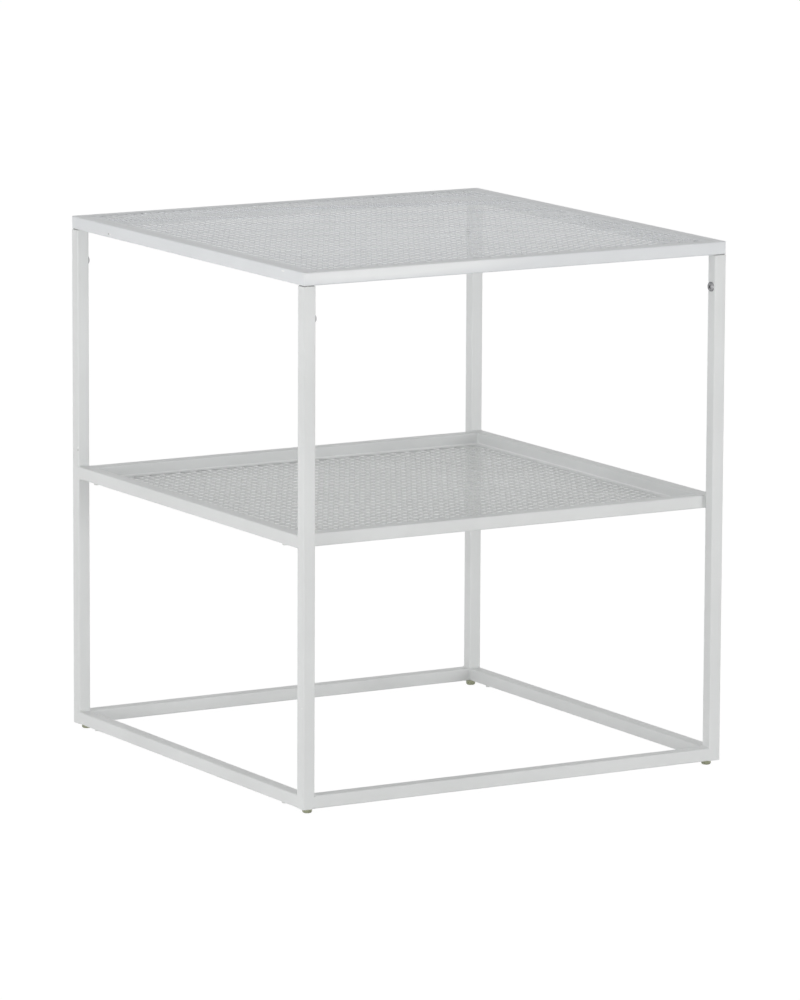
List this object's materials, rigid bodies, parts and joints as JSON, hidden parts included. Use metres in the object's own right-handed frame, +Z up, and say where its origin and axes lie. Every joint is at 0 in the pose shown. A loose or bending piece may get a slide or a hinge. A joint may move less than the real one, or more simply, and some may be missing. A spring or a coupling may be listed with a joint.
{
  "type": "square coffee table",
  "caption": "Square white metal side table: slim square-tube frame, perforated sheet top bolted onto the legs, perforated lower shelf and small rubber feet.",
  "frame": {"origin": "on the floor, under the middle of the table", "axes": "+X to the right along the front side, +Y to the back, +Z up"},
  "size_m": [0.55, 0.55, 0.607],
  "materials": {
    "white_powder_coat": "matt white powder coat with a very fine orange peel, on welded square steel tube",
    "white_sheet_coat": "the same matt white powder coat on punched sheet steel",
    "zinc_steel": "bright zinc-plated steel",
    "clear_rubber": "clear polyurethane with a slight amber tint",
    "white_plastic": "matt white plastic in the colour of the coat"
  },
  "bodies": {
    "root": {"top_rail_front": "white_powder_coat", "top_rail_right": "white_powder_coat", "top_rail_back": "white_powder_coat", "top_rail_left": "white_powder_coat", "top_sheet": "white_sheet_coat", "spigot_front_left": "white_powder_coat", "spigot_front_right": "white_powder_coat", "spigot_back_left": "white_powder_coat", "spigot_back_right": "white_powder_coat", "leg_front_left": "white_powder_coat", "leg_front_right": "white_powder_coat", "leg_back_left": "white_powder_coat", "leg_back_right": "white_powder_coat", "base_rail_front": "white_powder_coat", "base_rail_right": "white_powder_coat", "base_rail_back": "white_powder_coat", "base_rail_left": "white_powder_coat", "shelf_rail_front": "white_powder_coat", "shelf_rail_right": "white_powder_coat", "shelf_rail_back": "white_powder_coat", "shelf_rail_left": "white_powder_coat", "shelf_sheet": "white_sheet_coat", "leg_end_plates": "white_powder_coat", "leg_bolts": "zinc_steel", "weld_nuts": "zinc_steel", "feet": "clear_rubber", "vent_plugs": "white_plastic"}
  },
  "joints": []
}
